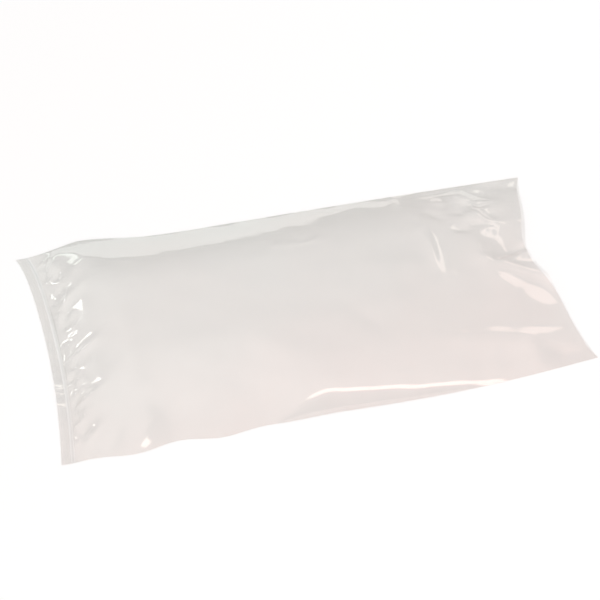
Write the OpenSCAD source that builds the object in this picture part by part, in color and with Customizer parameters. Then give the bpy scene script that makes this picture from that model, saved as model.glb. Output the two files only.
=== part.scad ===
// A clear flat poly bag, lying on its back with its mouth a little open.
// It is one length of blown film tube: the long sides are plain folds in the
// tube, one end is closed by a heat seal across it with a short skirt of loose
// film past the seal, and the other end is cut off and left open.
// The back ply lies flat, and the front ply stands up off it as a low tent.
// +X runs along the bag to the mouth, +Y across it, and Z = 0 is the table.

/* [Bag] */
// Length of the bag, from the cut end of the skirt to the mouth
bag_l = 406; // [250:1:600]
// Width of the tube laid flat, at the sealed end
bag_w = 206; // [120:1:320]
// Width across the two corners of the mouth
mouth_w = 196; // [110:1:310]
// Thickness of the film
film_t = 0.1; // [0.06:0.01:0.2]
// Air left between the plies along the side folds
ply_gap = 0.1; // [0.06:0.01:0.4]
// Length of the skirt of loose film past the heat seal
skirt_l = 7; // [3:0.5:20]
// Width of the heat seal, where the two plies are melted into one
seal_w = 3; // [1.5:0.5:8]

/* [Tent] */
// Height of the front ply where it stands highest
crown_h = 28; // [14:0.5:45]
// Height that the front ply's edge stands open at the mouth
lip_h = 10; // [6:0.5:18]
// Run of the slope up from the near side fold to full height
near_run = 48; // [20:1:70]
// Run of the slope up from the far side fold to full height
far_run = 46; // [20:1:70]
// Run of the slope up from the heat seal to full height
seal_run = 40; // [20:1:90]
// Run of the long slope up from the mouth to full height
mouth_run = 190; // [80:1:220]
// Height of the steep stretch of the near side, where it is tallest
wall_h = 20; // [4:0.5:26]
// Rise of that steep stretch for each mm across the bag
wall_rise = 2; // [1:0.1:4]
// Softness of the bend along the top of the steep stretch
wall_bend = 3; // [1:0.5:8]
// Softness of the bends along the tops of the slopes
soft_bend = 12; // [2:0.5:24]

/* [Edges] */
// How far the middle of the sealed end is drawn in
seal_draw = 7; // [0:0.5:15]
// How far the middle of the mouth is drawn in
mouth_draw = 8; // [0:0.5:15]
// How much deeper the front ply's edge dips at its pinch
front_pinch = 9; // [0:0.5:15]
// How much deeper the back ply's edge dips at its pinch
back_pinch = 14; // [0:0.5:20]
// How far the side folds swell out at mid length
side_swell = 2; // [0:0.5:8]
// Size of the ripple in the near side fold by the sealed end
ripple = 2.5; // [0:0.5:5]
// Size of the bulge in the far side fold by the sealed end
bulge = 5; // [0:0.5:9]

/* [Folds] */
// Height of a fold of size 1 in the front ply
fold_h = 4; // [0:0.5:8]
// Distance from the crest of a fold of width 1 down to its foot
fold_w = 12; // [6:0.5:20]

/* [Facets] */
// Length of a facet of the film along the bag
facet_l = 6.2; // [4:0.1:12]
// Width of a facet of the film across the bag
facet_w = 6.4; // [4:0.1:12]

/* [Hidden] */

cells_long = round(bag_l / facet_l);
cells_across = round(bag_w / facet_w);
plies_t = 2 * film_t + ply_gap;
film_color = [0.86, 0.86, 0.85, 0.45];

// Where the mouth is pinched, as a share of the half width, and how wide
pinch_v = 0.16;
pinch_wide = 0.3;
// The ripple's wavelength as a share of the length, and where it has died out
ripple_wave = 0.17;
ripple_end = 0.42;
// Where the bulge is along the bag, and how far it reaches each way
bulge_u = 0.12;
bulge_wide = 0.1;
// Where the steep stretch of the near side starts, is tallest and ends
wall_from = 0.3;
wall_top = 0.5;
wall_to = 0.86;

// Folds pressed into the front ply. Each has its two ends, given as shares of
// the length and of the half width, then its size and its width. A minus size
// is a furrow. A fold is tallest half way along and dies out at both ends.
folds = [
    [[0.33, 0.12], [0.54, -0.36], 0.9, 1.3],
    [[0.3, 0.04], [0.52, 0.2], 1.1, 0.9],
    [[0.36, 0.95], [0.4, 0.3], 0.9, 1.1],
    [[0.42, 0.7], [0.34, 0.55], -0.7, 0.9],
    [[0.27, 0.62], [0.26, -0.05], 0.6, 0.8],
    [[0.12, -0.3], [0.5, -0.62], 0.8, 1.7],
    [[0.2, -0.66], [0.56, -0.86], 0.6, 1.2],
    [[-0.05, 0.2], [0.3, 0.06], 0.6, 2],
    [[-0.34, 1.15], [-0.33, 0.6], -0.8, 0.9],
    [[-0.3, 1.15], [-0.28, 0.58], 1, 0.8],
    [[-0.44, 1.1], [-0.36, 0.7], 0.7, 0.9],
    [[-0.36, -0.72], [-0.5, -1], 1, 1],
    [[-0.33, -0.7], [-0.38, -1.2], 0.9, 0.9],
    [[-0.28, -0.68], [-0.3, -1.2], -0.8, 0.8],
    [[-0.25, -0.6], [-0.22, -1.2], 0.9, 0.9],
    [[-0.5, -0.2], [-0.38, -0.05], 0.8, 0.9],
    [[-0.5, 0.35], [-0.38, 0.5], 0.8, 0.9],
    [[-0.5, -0.55], [-0.38, -0.5], 0.6, 0.8]
];

function clamp01(t) = min(max(t, 0), 1);
function ease(t) = clamp01(t) * clamp01(t) * (3 - 2 * clamp01(t));
function soft_min(a, b, bend) =
    let (d = max(bend - abs(a - b), 0))
    min(a, b) - d * d / (4 * bend);
function pinch(v) = exp(-pow((v - pinch_v) / pinch_wide, 2));

// The outline: u runs from 0 at the sealed end to 1 at the mouth, and v from
// -1 at the near side fold to 1 at the far one
function seal_x(v) = -bag_l / 2 + seal_draw * (1 - v * v);
function mouth_x(v, dip) =
    bag_l / 2 - (mouth_draw + dip * pinch(v)) * (1 - pow(v, 4));
function ripple_y(u) =
    u < ripple_end ? ripple * sin(360 * u / ripple_wave) * sin(180 * u / ripple_end) : 0;
function bulge_y(u) = bulge * exp(-pow((u - bulge_u) / bulge_wide, 2)) * min(u / bulge_u, 1);
function half_w(u, v) =
    (bag_w + (mouth_w - bag_w) * u) / 2 + side_swell * 4 * u * (1 - u)
    + (v < 0 ? -ripple_y(u) : bulge_y(u) * v * v);
function plan(u, v, dip) = [
    seal_x(v) + (mouth_x(v, dip) - seal_x(v)) * u,
    v * half_w(u, v)
];

// Height of one fold above the tent, at the point p of the plan
function fold_at(p, f) =
    let (
        a = [f[0][0] * bag_l, f[0][1] * bag_w / 2],
        b = [f[1][0] * bag_l, f[1][1] * bag_w / 2],
        t = clamp01((p - a) * (b - a) / ((b - a) * (b - a))),
        s = norm(p - a - (b - a) * t) / (f[3] * fold_w)
    )
    s >= 1 ? 0 : f[2] * fold_h * sin(180 * t) * pow(1 - s, 2);
function fold_sum(p, k = 0) =
    k == len(folds) ? 0 : fold_at(p, folds[k]) + fold_sum(p, k + 1);

// Height at which the near slope starts, above the steep stretch
function eave(u) =
    wall_h * min(ease((u - wall_from) / (wall_top - wall_from)),
                 clamp01((wall_to - u) / (wall_to - wall_top)));

// Height of the front ply, as the lowest of the slopes and the crown
function tent(u, v) =
    let (
        across = half_w(u, v) * (1 - abs(v)),
        near = soft_min(wall_rise * across, eave(u) + crown_h * across / near_run, wall_bend),
        side = v < 0 ? near : crown_h * across / far_run,
        seal = crown_h * max(u * bag_l - skirt_l - seal_w, 0) / seal_run,
        mouth = lip_h * (1 - v * v) + (crown_h - lip_h) * (1 - u) * bag_l / mouth_run,
        top = soft_min(crown_h, mouth, soft_bend),
        sloped = soft_min(top, seal, soft_bend)
    )
    soft_min(sloped, side, min(soft_bend, 2 * across + 2));
function front_z(u, v) =
    let (
        base = tent(u, v),
        creased = base + ease(base / fold_h / 2) * fold_sum(plan(u, v, front_pinch))
    )
    u * bag_l <= skirt_l + seal_w || abs(v) == 1 ? plies_t : max(creased, plies_t);

// Stations along the bag: the cut end of the skirt, the two edges of the heat
// seal, and then even steps up to the mouth
seal_u = (skirt_l + seal_w) / bag_l;
us = concat(
    [0, skirt_l / bag_l],
    [for (i = [0 : cells_long]) seal_u + (1 - seal_u) * i / cells_long]
);
vs = [for (j = [0 : cells_across]) 2 * j / cells_across - 1];
nu = len(us) - 1;
nv = cells_across;

// Outside of the front ply
function front_point(u, v) =
    let (p = plan(u, v, front_pinch)) [p[0], p[1], front_z(u, v)];
front = [for (u = us) [for (v = vs) front_point(u, v)]];

// Inside of the front ply, a film's thickness in from the outside
function front_normal(i, j) =
    let (
        along = front[min(i + 1, nu)][j] - front[max(i - 1, 0)][j],
        across = front[i][j + 1] - front[i][j - 1],
        n = cross(along, across)
    )
    n / norm(n);
function side_inset(j) = j == 0 ? film_t : j == nv ? -film_t : 0;
function lining_point(i, j) =
    let (p = front[i][j])
    i <= 2 || side_inset(j) != 0
        ? [p[0], p[1] + side_inset(j), p[2] - film_t]
        : p - film_t * front_normal(i, j);
lining = [for (i = [0 : nu]) [for (j = [0 : nv]) lining_point(i, j)]];

// The cells round the edge of the plies between two stations, as [i, j] pairs:
// up the near fold, across, back down the far fold and across again
function border(first, last) = concat(
    [for (i = [first : last]) [i, 0]], [for (j = [1 : nv - 1]) [last, j]],
    [for (i = [last : -1 : first]) [i, nv]], [for (j = [nv - 1 : -1 : 1]) [first, j]]
);
// The back ply is flat, so a border gives its shape
function back_point(at, z, inset) =
    let (
        i = at[0],
        j = at[1],
        p = i == nu ? plan(1, vs[j], back_pinch) : front[i][j]
    )
    [p[0], p[1] + inset * sign(side_inset(j)), z];
// Two hubs on the middle line follow a rim's own points. The curved ends of
// the sheet are cut into triangles round them.
hub_l = min(0.15 * bag_l, bag_w / 3);
hub_x = bag_l / 2 - 0.8 * hub_l;
hub_n = ceil(hub_l / bag_l * cells_long);
function rim(cells, z, inset) = concat(
    [for (at = cells) back_point(at, z, inset)],
    [[-hub_x, 0, z], [hub_x, 0, z]]
);

// Outside of the back ply, and its inside in the skirt and in the pocket
whole = border(0, nu);
skirt = border(0, 1);
pocket = border(2, nu);
borders = [whole, skirt, pocket];
rims = [rim(whole, 0, 0), rim(skirt, film_t, film_t), rim(pocket, film_t, film_t)];

module bag() {
    n = (nu + 1) * (nv + 1);
    starts = [2 * n, 2 * n + len(rims[0]), 2 * n + len(rims[0]) + len(rims[1])];

    // Numbers of the points: outside and inside of the front ply by cell, and
    // each rim by its order
    function f(at) = at[0] * (nv + 1) + at[1];
    function g(at) = n + f(at);
    function r(ring, k) = starts[ring] + k % len(borders[ring]);
    function hub(ring, which) = starts[ring] + len(borders[ring]) + which;

    function quad(a, b, c, d) = [[a, b, c], [a, c, d]];
    function sheet(id, first, last) = [
        for (i = [first : last - 1], j = [0 : nv - 1])
            each quad(id + f([i, j]), id + f([i, j + 1]), id + f([i + 1, j + 1]), id + f([i + 1, j]))
    ];
    function flip(faces) = [for (face = faces) [for (k = [len(face) - 1 : -1 : 0]) face[k]]];
    // The flat sheet inside a rim that runs from station `first` to the mouth:
    // a fan round each hub, and strips from fold to fold between them
    function plate(ring, first) =
        let (
            a = first + hub_n,
            b = nu - hub_n,
            size = nu - first,
            far = function(i) size + nv + nu - i
        )
        concat(
            [for (i = [a : b - 1])
                each quad(r(ring, i - first), r(ring, i + 1 - first), r(ring, far(i + 1)), r(ring, far(i)))],
            [for (k = [far(a) : far(first) + nv + hub_n - 1]) [hub(ring, 0), r(ring, k), r(ring, k + 1)]],
            [[hub(ring, 0), r(ring, hub_n), r(ring, far(a))]],
            [for (k = [b - first : far(b) - 1]) [hub(ring, 1), r(ring, k), r(ring, k + 1)]],
            [[hub(ring, 1), r(ring, far(b)), r(ring, b - first)]]
        );
    // The narrow sheet inside the skirt's rim
    skirt_plate = [
        for (j = [0 : nv - 1])
            each quad(r(1, 2 + 2 * nv - j), r(1, 1 + j), r(1, 2 + j), r(1, 1 + 2 * nv - j))
    ];
    // A wall from a rim of the back ply up to the front ply, apart from where
    // both plies are cut off at station `open`
    function wall(ring, cells, id, open) = [
        for (k = [0 : len(cells) - 1])
            let (here = cells[k], next = cells[(k + 1) % len(cells)])
            if (here[0] != next[0] || here[0] != open && here[0] != open - nu)
                each quad(r(ring, k), id + f(here), id + f(next), r(ring, k + 1))
    ];
    // The cut edge of both plies at one end, with the first rim's number k at
    // its near corner and the inner rim's number m
    function cut(i, k, inner, m, step) = concat(
        [for (j = [0 : nv - 1])
            each quad(f([i, j]), f([i, j + 1]), g([i, j + 1]), g([i, j]))],
        [for (j = [0 : nv - 1])
            each quad(r(0, k + step * j), r(inner, m + step * j),
                      r(inner, m + step * (j + 1)), r(0, k + step * (j + 1)))],
        [[r(0, k), f([i, 0]), g([i, 0]), r(inner, m)],
         [r(0, k + step * nv), r(inner, m + step * nv), g([i, nv]), f([i, nv])]]
    );

    color(film_color)
    polyhedron(
        points = concat([for (row = front) each row], [for (row = lining) each row],
                        rims[0], rims[1], rims[2]),
        faces = concat(
            sheet(0, 0, nu),
            flip(sheet(n, 0, 1)),
            flip(sheet(n, 2, nu)),
            plate(0, 0),
            flip(skirt_plate),
            flip(plate(2, 2)),
            wall(0, whole, 0, nu),
            flip(wall(1, skirt, n, 0)),
            flip(wall(2, pocket, n, nu)),
            cut(nu, nu, 2, nu - 2, 1),
            flip(cut(0, 2 * nu + 2 * nv, 1, 2 + 2 * nv, -1))
        )
    );
}

bag();
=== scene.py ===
# A clear flat poly bag: the film tube, relaxed as cloth and creased, its finish with a painted reflection
# tint, and a plain studio.
import math

import bpy
import numpy as np
from mathutils import Matrix, Vector


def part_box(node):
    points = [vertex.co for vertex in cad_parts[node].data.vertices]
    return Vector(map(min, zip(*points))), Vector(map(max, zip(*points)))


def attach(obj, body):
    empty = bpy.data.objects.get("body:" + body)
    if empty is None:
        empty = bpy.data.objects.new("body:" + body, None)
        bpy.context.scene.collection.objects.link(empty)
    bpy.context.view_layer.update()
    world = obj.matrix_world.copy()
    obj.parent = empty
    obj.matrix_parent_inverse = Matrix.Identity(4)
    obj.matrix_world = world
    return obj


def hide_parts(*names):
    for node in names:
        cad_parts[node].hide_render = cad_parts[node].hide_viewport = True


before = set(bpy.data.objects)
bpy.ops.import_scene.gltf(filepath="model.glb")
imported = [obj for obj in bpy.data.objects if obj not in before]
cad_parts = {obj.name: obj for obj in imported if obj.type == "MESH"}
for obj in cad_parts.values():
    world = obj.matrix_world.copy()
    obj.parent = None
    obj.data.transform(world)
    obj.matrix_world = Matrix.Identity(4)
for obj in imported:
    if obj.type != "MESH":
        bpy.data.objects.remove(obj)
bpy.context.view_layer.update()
bagLow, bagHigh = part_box("bag")
mm = 0.001

# The film tube, in metres, with its length from the frame
tube = dict(
    length=bagHigh.x - bagLow.x,
    sealedWidth=206 * mm,
    mouthWidth=196 * mm,
    film=0.1 * mm,
    plyGap=0.1 * mm,
    skirt=7 * mm,          # loose film past the heat seal
    seal=3 * mm,
    sealDraw=7 * mm,       # how far the sealed end bows in
    mouthDraw=8 * mm,
    setback=4 * mm,        # the front ply's mouth edge, behind the back ply's
    pinch=10 * mm,
    pinchAt=0.16,
    pinchWide=0.3,
    sideSwell=2 * mm,
    nearSwell=4 * mm,      # more of it along the near side of the mouth half
    ripple=2.5 * mm,       # in the near fold
    rippleWave=0.17,
    rippleEnd=0.42,
    bulge=9 * mm,          # in the far fold
    bulgeAt=0.12,
    bulgeWide=0.1,
    cornerPull=3 * mm,     # the far sealed corner, drawn out
    cornerPower=10,        # how closely that pull keeps to the corner
)
plies = 2 * tube["film"] + tube["plyGap"]
sealEnd = (tube["skirt"] + tube["seal"]) / tube["length"]

# How the front ply stands off the back one
tent = dict(
    crown=28 * mm,
    lip=10 * mm,
    nearRun=54 * mm,
    farRun=54 * mm,
    sealRun=40 * mm,
    mouthRun=190 * mm,
    wall=14 * mm,          # the steep stretch of the near side
    wallRise=2,
    wallBend=9 * mm,
    leastBend=0.2 * mm,
    wallFrom=0.36,
    wallTop=0.5,
    wallTo=0.93,
    softBend=12 * mm,
    foldBend=2 * mm,       # what is left of the soft bend at the side folds
    foldHeight=4 * mm,
    foldWidth=12 * mm,
)

# Big folds: two ends as shares of the length and the half width, then size and width
bigFolds = [
    ((0.33, 0.12), (0.54, -0.36), 0.9, 1.3),
    ((0.36, -0.02), (0.52, 0.16), 0.7, 0.9),
    ((0.36, 0.95), (0.4, 0.3), 0.9, 1.1),
    ((0.42, 0.7), (0.34, 0.55), -0.7, 0.9),
    ((0.27, 0.62), (0.26, 0), 0.4, 0.8),
    ((0.14, -0.59), (0.5, -0.73), 0.3, 1.8),
    ((0.2, -0.66), (0.56, -0.86), 0.3, 1.4),
    ((-0.05, 0.2), (0.3, 0.06), 0.3, 2.4),
    ((-0.44, 1.1), (-0.36, 0.7), 0.4, 1.2),
    ((-0.36, -0.72), (-0.5, -1), 0.6, 1.1),
    ((-0.33, -0.7), (-0.38, -1.2), 0.45, 1.1),
    ((-0.28, -0.68), (-0.3, -1.2), -0.35, 1.2),
    ((-0.5, -0.2), (-0.38, -0.05), 0.8, 0.9),
    ((-0.5, 0.35), (-0.38, 0.5), 0.6, 1),
    ((-0.5, -0.55), (-0.38, -0.5), 0.6, 0.8),
]
softCrest = 0.13  # how round a fold's crest is, as a share of its width


def softMin(a, b, bend):
    reach = np.maximum(bend - np.abs(a - b), 0)
    return np.minimum(a, b) - reach * reach / (4 * bend)


def ease(t):
    t = np.clip(t, 0, 1)
    return t * t * (3 - 2 * t)


def halfWidth(u, v):
    width = tube["sealedWidth"] + (tube["mouthWidth"] - tube["sealedWidth"]) * u
    wave = np.sin(2 * np.pi * u / tube["rippleWave"]) * np.sin(np.pi * u / tube["rippleEnd"])
    near = np.where(u < tube["rippleEnd"], -tube["ripple"] * wave, 0)
    near = near + tube["nearSwell"] * np.sin(np.pi * np.clip(2 * u - 1, 0, 1))
    rise = np.exp(-((u - tube["bulgeAt"]) / tube["bulgeWide"]) ** 2) * np.minimum(u / tube["bulgeAt"], 1)
    far = tube["bulge"] * rise * v * v
    return width / 2 + tube["sideSwell"] * 4 * u * (1 - u) + np.where(v < 0, near, far)


def planOf(u, v, setback=0):  # u from 0 at the sealed end to 1 at the mouth, v from -1 near to 1 far
    half = tube["length"] / 2
    pinch = np.exp(-((v - tube["pinchAt"]) / tube["pinchWide"]) ** 2)
    corner = tube["cornerPull"] * np.maximum(v, 0) ** tube["cornerPower"]
    sealX = -half + tube["sealDraw"] * (1 - v * v) - corner
    mouthX = half - (tube["mouthDraw"] + tube["pinch"] * pinch + setback) * (1 - v ** 4)
    return sealX + (mouthX - sealX) * u, v * halfWidth(u, v)


def foldHeight(x, y, folds, span, height, width):
    total = np.zeros_like(x)
    for start, end, size, wide in folds:
        a = np.array(start) * span
        run = np.array(end) * span - a
        along = np.clip(((x - a[0]) * run[0] + (y - a[1]) * run[1]) / (run @ run), 0, 1)
        away = np.hypot(x - a[0] - run[0] * along, y - a[1] - run[1] * along) / (wide * width)
        away = np.hypot(away, softCrest)
        total += np.where(away < 1, size * height * np.sin(np.pi * along) * (1 - away) ** 2, 0)
    return total


def tentHeight(u, v):
    across = halfWidth(u, v) * (1 - np.abs(v))
    climb = ease((u - tent["wallFrom"]) / (tent["wallTop"] - tent["wallFrom"]))
    fall = np.clip((tent["wallTo"] - u) / (tent["wallTo"] - tent["wallTop"]), 0, 1)
    eave = tent["wall"] * np.minimum(climb, fall)
    slope = eave + tent["crown"] * across / tent["nearRun"]
    near = softMin(tent["wallRise"] * across, slope, tent["wallBend"] * climb + tent["leastBend"])
    side = np.where(v < 0, near, tent["crown"] * across / tent["farRun"])
    seal = tent["crown"] * np.maximum(u - sealEnd, 0) * tube["length"] / tent["sealRun"]
    toMouth = (1 - u) * tube["length"] / tent["mouthRun"]
    mouth = tent["lip"] * (1 - v * v) + (tent["crown"] - tent["lip"]) * toMouth
    top = softMin(softMin(tent["crown"], mouth, tent["softBend"]), seal, tent["softBend"])
    return softMin(top, side, np.minimum(tent["softBend"], 2 * across + tent["foldBend"]))


def frontPly(u, v):
    x, y = planOf(u, v, tube["setback"])
    base = tentHeight(u, v)
    span = (tube["length"], tube["sealedWidth"] / 2)
    folds = foldHeight(x, y, bigFolds, span, tent["foldHeight"], tent["foldWidth"])
    z = base + ease(base / tent["foldHeight"] / 2) * folds
    flat = (u <= sealEnd) | (np.abs(v) >= 1)
    return np.stack([x, y, np.where(flat, plies, np.maximum(z, plies))], -1)


# The cloth pass on the front ply
relax = dict(
    along=132,
    across=64,
    frames=26,
    quality=7,
    mass=0.1,
    damping=2,
    spareLength=0.012,     # how much longer the film is than the space it spans
    stretch=40,
    bending=2.5,
    hold=0.3,              # how firmly the open film keeps to its tent
    cap=6 * mm,
    softenings=4,
    calm=18 * mm,          # how far from the seal the film keeps still
    rim=0.999,             # from this share of the way out, film counts as the edge
    mouthCorner=0.9,       # from this share of the half width out, the mouth's edge is held
)


def gridOf(fromU, along, across):
    return np.meshgrid(np.linspace(fromU, 1, along + 1), np.linspace(-1, 1, across + 1), indexing="ij")


def gridFaces(rows, columns):
    first = (np.arange(rows - 1)[:, None] * columns + np.arange(columns - 1)).ravel()
    return np.stack([first, first + columns, first + columns + 1, first + 1], -1)


def meshObject(name, points, faces):
    mesh = bpy.data.meshes.new(name)
    mesh.from_pydata(points.reshape(-1, 3).tolist(), [], [list(map(int, f)) for f in faces])
    mesh.update()
    thing = bpy.data.objects.new(name, mesh)
    bpy.context.scene.collection.objects.link(thing)
    return thing


def relaxFilm(points, held):
    rows, columns = points.shape[:2]
    cloth = meshObject("filmInWork", points, gridFaces(rows, columns))
    group = cloth.vertex_groups.new(name="held")
    for k, weight in enumerate(held.ravel()):
        group.add([k], float(weight), "REPLACE")
    film = cloth.modifiers.new("film", "CLOTH")
    settings = film.settings
    settings.quality = relax["quality"]
    settings.mass = relax["mass"]
    settings.tension_stiffness = settings.compression_stiffness = relax["stretch"]
    settings.shear_stiffness = relax["stretch"] / 2
    settings.bending_stiffness = relax["bending"]
    settings.air_damping = relax["damping"]
    settings.vertex_group_mass = "held"
    settings.pin_stiffness = 1
    settings.shrink_min = settings.shrink_max = -relax["spareLength"]
    settings.effector_weights.gravity = 0
    film.collision_settings.use_collision = False
    film.point_cache.frame_start, film.point_cache.frame_end = 1, relax["frames"]
    scene = bpy.context.scene
    for step in range(1, relax["frames"] + 1):
        scene.frame_set(step)
    worked = cloth.evaluated_get(bpy.context.evaluated_depsgraph_get())
    found = np.zeros(rows * columns * 3)
    worked.data.vertices.foreach_get("co", found)
    bpy.data.objects.remove(cloth)
    scene.frame_set(1)
    inner = np.zeros((rows, columns, 1), bool)
    inner[1:-1, 1:-1] = True
    shift = found.reshape(points.shape) - points
    for _ in range(relax["softenings"]):
        for axis in (0, 1):
            before, after = np.roll(shift, 1, axis), np.roll(shift, -1, axis)
            shift = np.where(inner, (before + 2 * shift + after) / 4, shift)
    size = np.linalg.norm(shift, axis=-1, keepdims=True)
    shift *= np.minimum(1, relax["cap"] / np.maximum(size, 1e-9))
    fromSeal = np.arange(rows) * tube["length"] / relax["along"]
    shift *= ease(fromSeal / relax["calm"])[:, None, None]
    print("film relaxed: mean shift %.2f mm, most %.2f mm" % (size.mean() / mm, size.max() / mm))
    return points + shift


def smoothResample(values, count, axis):  # Catmull-Rom through evenly spaced samples
    values = np.moveaxis(values, axis, 0)
    place = np.linspace(0, len(values) - 1, count)
    whole = np.clip(np.floor(place).astype(int), 0, len(values) - 2)
    part = (place - whole).reshape((-1,) + (1,) * (values.ndim - 1))
    before, start = values[np.maximum(whole - 1, 0)], values[whole]
    end, after = values[whole + 1], values[np.minimum(whole + 2, len(values) - 1)]
    curve = start + 0.5 * part * (end - before + part * (
        2 * before - 5 * start + 4 * end - after + part * (3 * (start - end) + after - before)))
    return np.moveaxis(curve, 0, axis)


# The finished film: how many cells it has, and what is pressed into it
fine = dict(
    along=196,
    across=96,
    skirt=4,
    seal=2,
    weldCalm=3 * mm,       # creases fade in over this distance from the weld
    foldCalm=5 * mm,       # and over this one from the side folds
    sharpFrom=math.radians(38),
)
pucker = dict(             # the ruffle in the loose film past the weld
    ruffle=3.4 * mm,
    peakAt=-0.36,
    peakWide=0.28,
    least=0.3,             # share of the ruffle away from its peak
    waviness=0.2,
    part=(0.7, 0.2),       # which part of the waves falls on the bag
    waves=((11, 0.4), (17, 2.1), (29, 0.9), (47, 3.3)),
)
backWave = dict(           # shallow waves in the back ply
    height=0.25 * mm,
    fadeIn=12,
    along=(40, 9, 21),
    across=(33, 5, 17),
)
crinkle = dict(            # in millimetres
    count=90,
    seed=11,
    reach=(-98, 96),
    fromSeal=(2, 13),
    length=(5, 15),
    height=(0.7, 1.9),
    width=(3.2, 5.5),
    lean=0.9,
)

# Creases in millimetres: two ends, then height and width, where a negative height is a valley
creases = [
    # the crumple by the mouth
    ((142, 44), (146, -10), 3.4, 24),
    ((166, 46), (167, -4), -3.2, 24),
    ((147, -2), (164, 9), -1, 6),
    ((164, 9), (186, 15), -1.2, 7),
    ((147, 67), (149, 46), 3.2, 17),
    ((166, 66), (166, 47), -2.8, 17),
    ((154, 66), (172, 63), 1.4, 6),
    ((146, 46), (170, 43), -2, 6),
    ((147, 95), (149, 70), 3.4, 19),
    ((168, 94), (168, 72), -2.8, 19),
    ((154, 94), (174, 90), 1.4, 7),
    ((146, 69), (172, 67), -2.2, 6),
    ((126, 84), (132, 72), 2, 9),
    ((132, 62), (145, 60), -1.6, 8),
    ((130, 43), (146, 39), -2.4, 8),
    ((114, 70), (128, 52), -1.6, 8),
    ((186, 88), (198, 96), 1.6, 6),
    ((176, 24), (190, 12), 1.6, 7),
    # single streaks and glints
    ((109, 42), (105, -6), 1.6, 7),
    ((94, 93), (97, 78), 1.8, 6),
    ((93, 38), (108, 52), 1.2, 6),
    ((-14, 45), (-4, 55), 1.3, 5),
    ((-2, 43), (6, 54), 1.5, 5),
    ((6, 47), (20, 48), 1.1, 5),
    ((17, 46), (26, 54), 1.6, 5),
    ((-102, -86), (-92, -82), 1.1, 5),
    ((-94, -106), (-84, -97), 1.4, 6),
    ((48, -88), (62, -90), 0.8, 5),
    # long soft folds towards the mouth
    ((142, 0), (162, -34), 2.6, 24),
    ((178, -6), (188, -46), -2.2, 22),
    ((188, -8), (196, -46), 1.8, 8),
    ((46, -62), (200, -77), 0.3, 12),
    ((156, -66), (164, -116), 2.5, 30),
    ((158, -80), (206, -100), -2.2, 10),
    ((150, -92), (172, -106), 1.2, 8),
    ((166, -68), (200, -62), -0.8, 8),
    ((88, -100), (166, -106), -1.2, 8),
    ((20, -12), (58, -60), -1.1, 16),
    ((70, 12), (64, -36), 0.8, 14),
    # near the sealed corner
    ((-138, -75), (-104, -81), -1.8, 10),
    ((-106, -70), (-58, -78), 2.2, 14),
    ((-118, -90), (-68, -86), -1.8, 13),
    ((-60, -62), (-20, -84), 1.8, 17),
    ((-150, -58), (-118, -66), 1.4, 12),
    # across the far slope
    ((-172, 104), (-182, 80), 1.4, 9),
    ((-174, 58), (-150, 84), 1.4, 12),
    ((-60, 84), (-20, 92), -0.8, 12),
    ((30, 84), (76, 92), 0.8, 12),
    # along the sealed end
    ((-186, 56), (-183, 8), 1.4, 6),
    ((-183, 10), (-178, -16), 1.2, 6),
    ((-192, 40), (-190, 0), -1, 5),
    ((-193, -6), (-184, -24), 2, 9),
    ((-194, -30), (-187, -52), 2, 8),
    ((-186, -34), (-190, -62), -1.6, 6),
    # into the near sealed corner
    ((-188, -60), (-196, -98), 1.2, 6),
    ((-168, -66), (-191, -88), -2.4, 10),
    ((-162, -76), (-188, -100), 2.2, 10),
    ((-154, -86), (-176, -106), 1.6, 9),
    ((-144, -82), (-162, -104), -2.2, 10),
    ((-126, -77), (-150, -106), 2.4, 12),
    ((-112, -90), (-134, -110), -2, 11),
]


def uneven(v):  # waves across the bag, from -1 to 1
    return sum(np.sin(np.pi * count * v + turn) for count, turn in pucker["waves"]) / len(pucker["waves"])


def crinkles():  # short chance creases beside the weld
    chance = np.random.default_rng(crinkle["seed"])
    found = []
    for _ in range(crinkle["count"]):
        y = chance.uniform(*crinkle["reach"])
        bow = tube["sealDraw"] * (1 - (2 * y * mm / tube["sealedWidth"]) ** 2)
        weldX = (bow + tube["skirt"] + tube["seal"] - tube["length"] / 2) / mm
        x = weldX + chance.uniform(*crinkle["fromSeal"])
        turn = chance.normal(0, crinkle["lean"])
        half = chance.uniform(*crinkle["length"]) / 2
        step = np.array([math.cos(turn), math.sin(turn)]) * half
        height = chance.uniform(*crinkle["height"]) * chance.choice([-1, 1])
        found.append(((x, y) - step, (x, y) + step, height, chance.uniform(*crinkle["width"])))
    return found


def pocketFront():
    u, v = gridOf(sealEnd, relax["along"], relax["across"])
    front = frontPly(u, v)
    mouthCorner = (u > relax["rim"]) & (np.abs(v) > relax["mouthCorner"])
    border = (u <= sealEnd) | (np.abs(v) > relax["rim"]) | mouthCorner
    front = relaxFilm(front, np.where(border, 1.0, relax["hold"]))
    front = smoothResample(smoothResample(front, fine["along"] + 1, 0), fine["across"] + 1, 1)
    x, y, z = np.moveaxis(front, -1, 0)
    u, v = gridOf(sealEnd, fine["along"], fine["across"])
    fromWeld = (u - sealEnd) * tube["length"]
    fromFold = halfWidth(u, v) * (1 - np.abs(v))
    free = ease(fromWeld / fine["weldCalm"]) * ease(fromFold / fine["foldCalm"])
    z = z + free * foldHeight(x, y, creases + crinkles(), (mm, mm), mm, mm)
    front[..., 2] = np.maximum(z, plies)
    return front


def insideOf(outer):  # the inner face of the front ply, one film in from its outside
    along, across = np.gradient(outer, axis=0), np.gradient(outer, axis=1)
    normal = np.cross(along, across)
    normal /= np.linalg.norm(normal, axis=-1, keepdims=True)
    inner = outer - tube["film"] * normal
    inner[..., 2] = np.maximum(inner[..., 2], tube["film"] + tube["plyGap"])
    inner[:, 0, 1] = outer[:, 0, 1] + tube["film"]
    inner[:, -1, 1] = outer[:, -1, 1] - tube["film"]
    return inner


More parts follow.
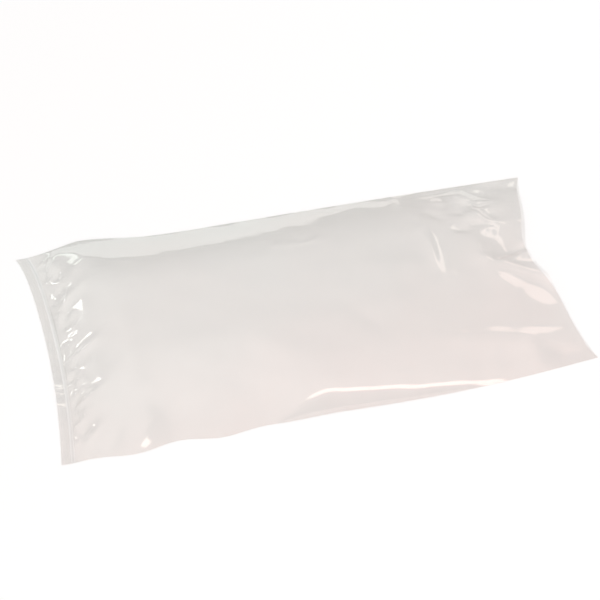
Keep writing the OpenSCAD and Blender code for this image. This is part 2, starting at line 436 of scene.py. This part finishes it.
def backSwell(x, y):  # wandering waves, from -1 to 1
    rate, bend, turn = backWave["along"]
    crossRate, crossBend, crossTurn = backWave["across"]
    along = np.sin(rate * x + bend * np.sin(turn * y))
    return along * np.sin(crossRate * y + crossBend * np.cos(crossTurn * x))


def filmSheets():  # outside and inside of the front ply, then outside and inside of the back ply
    skirtU = np.linspace(0, tube["skirt"], fine["skirt"] + 1) / tube["length"]
    sealU = np.linspace(tube["skirt"], tube["skirt"] + tube["seal"], fine["seal"] + 1)[1:] / tube["length"]
    endU = np.concatenate([skirtU, sealU[:-1]])
    endU, v = np.meshgrid(endU, np.linspace(-1, 1, fine["across"] + 1), indexing="ij")
    x, y = planOf(endU, v)
    loose = np.clip(1 - endU * tube["length"] / tube["skirt"], 0, 1)
    peak = np.exp(-((v - pucker["peakAt"]) / pucker["peakWide"]) ** 2)
    peak = pucker["least"] + (1 - pucker["least"]) * peak
    part, start = pucker["part"]
    wavy = 1 - pucker["waviness"] + pucker["waviness"] * uneven(v * part + start)
    ruffle = pucker["ruffle"] * peak * loose * wavy
    endFront = np.stack([x, y, plies + ruffle], -1)
    front = np.concatenate([endFront, pocketFront()])
    inner = insideOf(front)
    u, v = gridOf(sealEnd, fine["along"], fine["across"])
    x, y = planOf(u, v)
    wave = backWave["height"] * (1 - v * v) * (1 + backSwell(x, y))
    wave = wave * ease((u - sealEnd) * backWave["fadeIn"])
    back = np.concatenate([endFront - (0, 0, plies), np.stack([x, y, wave], -1)])
    backInner = back + (0, 0, tube["film"])
    backInner[:, 0, 1] = inner[:, 0, 1]
    backInner[:, -1, 1] = inner[:, -1, 1]
    inner[..., 2] = np.maximum(inner[..., 2], backInner[..., 2] + tube["plyGap"])
    front[..., 2] = np.maximum(front[..., 2], inner[..., 2] + tube["film"])
    return front, inner, back, backInner


def shellMesh(front, inner, back, backInner):
    rows, columns = front.shape[:2]
    points = np.concatenate([sheet.reshape(-1, 3) for sheet in (front, inner, back, backInner)])
    cells = gridFaces(rows, columns)
    number = np.arange(rows * columns).reshape(rows, columns)
    outerFront, innerFront, outerBack, innerBack = (number + k * number.size for k in range(4))
    inSkirt = cells[:, 2] < (fine["skirt"] + 1) * columns
    inPocket = cells[:, 0] >= (fine["skirt"] + fine["seal"]) * columns
    hollow = cells[inSkirt | inPocket]
    faces = [
        cells,
        hollow[:, ::-1] + number.size,
        cells[:, ::-1] + 2 * number.size,
        hollow + 3 * number.size,
    ]

    def strip(first, second):
        faces.append(np.stack([first[:-1], first[1:], second[1:], second[:-1]], -1))

    strip(outerBack[:, 0], outerFront[:, 0])
    strip(outerFront[:, -1], outerBack[:, -1])
    for start, end in ((0, fine["skirt"]), (fine["skirt"] + fine["seal"], rows - 1)):
        strip(innerFront[start:end + 1, 0], innerBack[start:end + 1, 0])
        strip(innerBack[start:end + 1, -1], innerFront[start:end + 1, -1])
    skirtEnd, pocketStart = fine["skirt"], fine["skirt"] + fine["seal"]
    strip(innerBack[skirtEnd], innerFront[skirtEnd])
    strip(innerFront[pocketStart], innerBack[pocketStart])
    strip(outerFront[-1], innerFront[-1])
    strip(innerBack[-1], outerBack[-1])
    strip(innerFront[0], outerFront[0])
    strip(outerBack[0], innerBack[0])
    corners = [
        (outerBack[-1, 0], innerBack[-1, 0], innerFront[-1, 0], outerFront[-1, 0]),
        (outerFront[-1, -1], innerFront[-1, -1], innerBack[-1, -1], outerBack[-1, -1]),
        (outerFront[0, 0], innerFront[0, 0], innerBack[0, 0], outerBack[0, 0]),
        (outerBack[0, -1], innerBack[0, -1], innerFront[0, -1], outerFront[0, -1]),
    ]
    faces.append(np.array(corners))
    faces = np.concatenate(faces)
    used = np.unique(faces)
    renumber = np.zeros(len(points), int)
    renumber[used] = np.arange(len(used))
    return points[used], renumber[faces]


bagPoints, bagFaces = shellMesh(*filmSheets())
bag = meshObject("bag_film", bagPoints, bagFaces)
for polygon in bag.data.polygons:
    polygon.use_smooth = True
bag.data.set_sharp_from_angle(angle=fine["sharpFrom"])
print("bag film:", len(bagPoints), "points,", len(bagFaces), "faces")


class Wire:  # a socket that can be used in sums
    def __init__(self, graph, socket):
        self.graph, self.socket = graph, socket

    def maths(self, operation, a, b):
        return self.graph.add("ShaderNodeMath", dict(operation=operation), [a, b])

    def __add__(self, other):
        return self.maths("ADD", self, other)

    def __sub__(self, other):
        return self.maths("SUBTRACT", self, other)

    def __rsub__(self, other):
        return self.maths("SUBTRACT", other, self)

    def __mul__(self, other):
        return self.maths("MULTIPLY", self, other)

    def __pow__(self, other):
        return self.maths("POWER", self, other)

    def __abs__(self):
        return self.maths("ABSOLUTE", self, None)

    def clamped(self):
        return self.graph.add("ShaderNodeClamp", None, [self])

    __radd__, __rmul__ = __add__, __mul__


class Graph:  # the node tree of a material or a world
    def __init__(self, owner):
        self.owner = owner
        owner.use_nodes = True
        self.tree = owner.node_tree
        self.tree.nodes.clear()

    def add(self, kind, settings=None, values=(), out=0):
        node = self.tree.nodes.new(kind)
        for key, value in (settings or {}).items():
            if key == "stops":
                ramp = node.color_ramp.elements
                while len(ramp) < len(value):
                    ramp.new(0.5)
                for stop, (place, colour) in zip(ramp, value):
                    stop.position, stop.color = place, colour
            else:
                setattr(node, key, value)
        pairs = values.items() if isinstance(values, dict) else enumerate(values)
        for key, value in pairs:
            if isinstance(value, Wire):
                self.tree.links.new(value.socket, node.inputs[key])
            elif value is not None:
                node.inputs[key].default_value = value
        return Wire(self, node.outputs[out]) if len(node.outputs) else None

    def noise(self, place, scale, detail, roughness):
        values = dict(Vector=place, Scale=scale, Detail=detail, Roughness=roughness)
        return self.add("ShaderNodeTexNoise", None, values)

    def mixColour(self, share, a, b):
        return self.add("ShaderNodeMix", dict(data_type="RGBA"), {0: share, 6: a, 7: b}, 2)


# The film's finish, with a painted reflection tint: each face of the film lets most of what is behind it
# through
filmLook = dict(
    # cool and warm: a painted reflection tint standing in for the room's coloured reflections, cooler
    # towards the far sealed end, warmer towards the mouth and the near side
    coolReflectionTint=(0.76, 0.82, 0.78, 1),
    warmReflectionTint=(0.87, 0.71, 0.66, 1),
    cover=0.066,           # share of each face that mirror and haze take, seen straight on
    edgeCover=0.55,        # the same, looking along the film
    edgePower=4,
    sealHaze=0.1,          # what the weld adds to that share
    sealEdge=1.2,          # how sharply that ends
    sheen=0.85,            # how much of that share is mirror
    roughness=0.1,
    through=(0.998, 0.994, 0.991, 1),
    cloud=9,               # scales of the noises
    crumple=18,
    grain=90,
    dieLines=(3, 160, 3),
    relief=(0.04, 0.96, 0.3),  # die lines, crumple and grain
    bump=(0.4, 0.7 * mm),  # strength and distance
    warmReflectionGain=(1.2, 4),       # how much the painted reflection tint warms by a metre towards the mouth, and towards the near side
)


def filmMaterial():
    g = Graph(bpy.data.materials.new("clear_film"))
    place = g.add("ShaderNodeTexCoord", out=3)
    x = g.add("ShaderNodeSeparateXYZ", None, [place])
    y = g.add("ShaderNodeSeparateXYZ", None, [place], out=1)
    # Painted reflection tint: a cloud plus a drift towards the mouth and the near side mixes the cool and
    # warm colours of the film's mirror and haze
    cloud = g.noise(place, filmLook["cloud"], 2, 0.5)
    toMouth, toNear = filmLook["warmReflectionGain"]
    warmReflectionShare = (cloud + x * toMouth - y * toNear).clamped()
    paintedReflectionTint = g.mixColour(warmReflectionShare, filmLook["coolReflectionTint"], filmLook["warmReflectionTint"])
    lines = g.add("ShaderNodeMapping", None, dict(Vector=place, Scale=filmLook["dieLines"]))
    dieLines = g.noise(lines, 1, 2, 0.5)
    crumple = g.noise(place, filmLook["crumple"], 1, 0.4)
    grain = g.noise(place, filmLook["grain"], 1, 0.4)
    linesShare, crumpleShare, grainShare = filmLook["relief"]
    height = dieLines * linesShare + crumple * crumpleShare + grain * grainShare
    strength, distance = filmLook["bump"]
    bump = g.add("ShaderNodeBump", None, dict(Strength=strength, Distance=distance, Height=height))
    across = y * (2 / tube["sealedWidth"])
    corner = across.clamped() ** tube["cornerPower"]
    bow = across * across * tube["sealDraw"] + corner * tube["cornerPull"]
    fromEnd = x + bow + (tube["length"] / 2 - tube["sealDraw"])
    fromWeld = abs(fromEnd - (tube["skirt"] + tube["seal"] / 2)) * (2 / tube["seal"])
    weld = (filmLook["sealEdge"] - fromWeld).clamped()
    facing = g.add("ShaderNodeLayerWeight", None, dict(Blend=0.5), out=1)
    edge = facing ** filmLook["edgePower"] * (filmLook["edgeCover"] - filmLook["cover"])
    cover = edge + weld * filmLook["sealHaze"]
    gloss = g.add("ShaderNodeBsdfPrincipled", None, {
        "Base Color": paintedReflectionTint, "Metallic": filmLook["sheen"], "Roughness": filmLook["roughness"],
        "Normal": bump})
    clear = g.add("ShaderNodeBsdfTransparent", None, dict(Color=filmLook["through"]))
    film = g.add("ShaderNodeMixShader", None, [cover + filmLook["cover"], clear, gloss])
    g.add("ShaderNodeOutputMaterial", None, [film])
    return g.owner


bag.data.materials.append(filmMaterial())
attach(bag, "root")
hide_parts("bag")
print("film finished")

# The studio: a white floor, soft lamps and the photograph's camera
studio = dict(
    turn=math.radians(13.7),
    elevation=math.radians(48.4),
    distance=1.533,
    aside=(0.0026, -0.0103),
    lens=120,
    sensor=36,
    clip=(0.05, 20),
    floorSize=12.0,        # half its side
    floorDrop=0.2 * mm,    # how far it lies below the bag
    floorPaper=(0.8, 0.8, 0.8, 1),
    floorTint=(0.97, 1, 1.03, 1),
    floorGlow=0.332,
    # light by how far a direction points right, away and up, then what it starts from
    skyFrom=(-0.3, -0.29, 0.67, 0.25),
    sky=[
        (0.0, (0.17, 0.21, 0.19, 1)),
        (0.3, (0.15, 0.18, 0.165, 1)),
        (0.42, (0.34, 0.36, 0.34, 1)),
        (0.55, (0.58, 0.57, 0.55, 1)),
        (0.67, (0.87, 0.84, 0.82, 1)),
        (0.8, (1.24, 1.18, 1.16, 1)),
        (1.0, (1.6, 1.52, 1.5, 1)),
    ],
    unevenness=(0.54, 0.44),  # least and spread of the sky's strength
    skyCloud=2.6,
    clearBounces=32,
    # each lamp's place right of, away from and above the bag, then its size, power and colour
    lamps=[
        ("lamp_strip", (0.62, -1.08, 1.05), (0.85, 0.45), 4, (1, 0.97, 0.94)),
        ("lamp_right", (0.68, 1.04, 0.82), (0.4, 0.46), 1, (1, 0.98, 0.96)),
        ("lamp_left", (-0.75, 1.3, 0.22), (0.3, 0.16), 0.35, (0.95, 1, 0.97)),
        ("lamp_side", (-1.3, 0.68, 0.34), (0.1, 0.1), 0.28, (1, 1, 1)),
    ],
)
fromCamera = Matrix.Rotation(-studio["turn"], 3, "Z")


def makeCamera():
    data = bpy.data.cameras.new("camera")
    data.lens, data.sensor_width = studio["lens"], studio["sensor"]
    data.clip_start, data.clip_end = studio["clip"]
    camera = bpy.data.objects.new("camera", data)
    bpy.context.scene.collection.objects.link(camera)
    c, s = math.cos(studio["elevation"]), math.sin(studio["elevation"])
    aside = Vector((*studio["aside"], 0))
    camera.location = fromCamera @ (Vector((0, -c, s)) * studio["distance"] - aside)
    camera.rotation_mode = "QUATERNION"
    camera.rotation_quaternion = (fromCamera @ Vector((0, c, -s))).to_track_quat("-Z", "Y")
    bpy.context.scene.camera = camera


def makeLamp(name, place, size, power, colour):
    data = bpy.data.lights.new(name, "AREA")
    data.shape, data.size, data.size_y = "RECTANGLE", *size
    data.energy, data.color = power, colour
    lamp = bpy.data.objects.new(name, data)
    bpy.context.scene.collection.objects.link(lamp)
    lamp.location = fromCamera @ Vector(place)
    lamp.rotation_mode = "QUATERNION"
    lamp.rotation_quaternion = (-lamp.location).to_track_quat("-Z", "Y")


def floorMaterial():
    g = Graph(bpy.data.materials.new("studio_floor"))
    path = g.tree.nodes.new("ShaderNodeLightPath")
    seen = Wire(g, path.outputs["Is Camera Ray"]) + Wire(g, path.outputs["Is Glossy Ray"])
    seen = seen + Wire(g, path.outputs["Is Transmission Ray"])
    paper = g.add("ShaderNodeBsdfDiffuse", None, dict(Color=studio["floorPaper"]))
    strength = seen * studio["floorGlow"]
    glow = g.add("ShaderNodeEmission", None, dict(Color=studio["floorTint"], Strength=strength))
    both = g.add("ShaderNodeAddShader", None, [paper, glow])
    g.add("ShaderNodeOutputMaterial", None, [both])
    return g.owner


def skyWorld():
    g = Graph(bpy.data.worlds.new("studio_world"))
    direction = g.add("ShaderNodeTexCoord")
    turned = g.add("ShaderNodeMapping", None, dict(Vector=direction, Rotation=(0, 0, studio["turn"])))
    right, away, up = (g.add("ShaderNodeSeparateXYZ", None, [turned], out=k) for k in range(3))
    toRight, toAway, toUp, start = studio["skyFrom"]
    light = right * toRight + away * toAway + up * toUp + start
    colour = g.add("ShaderNodeValToRGB", dict(stops=studio["sky"]), [light])
    cloud = g.noise(turned, studio["skyCloud"], 1, 0.4)
    least, spread = studio["unevenness"]
    glow = g.add("ShaderNodeBackground", None, [colour, cloud * spread + least])
    g.add("ShaderNodeOutputWorld", None, [glow])
    return g.owner


def makeStudio():
    corners = np.array([(-1, -1, 0), (1, -1, 0), (1, 1, 0), (-1, 1, 0)]) * studio["floorSize"]
    floor = meshObject("studio_floor", corners - (0, 0, studio["floorDrop"]), [(0, 1, 2, 3)])
    floor.data.materials.append(floorMaterial())
    for name, place, size, power, colour in studio["lamps"]:
        makeLamp(name, place, size, power, colour)
    bpy.context.scene.world = skyWorld()


makeCamera()
makeStudio()
scene = bpy.context.scene
scene.view_settings.view_transform = "Standard"
scene.cycles.transparent_max_bounces = studio["clearBounces"]
print("studio ready")
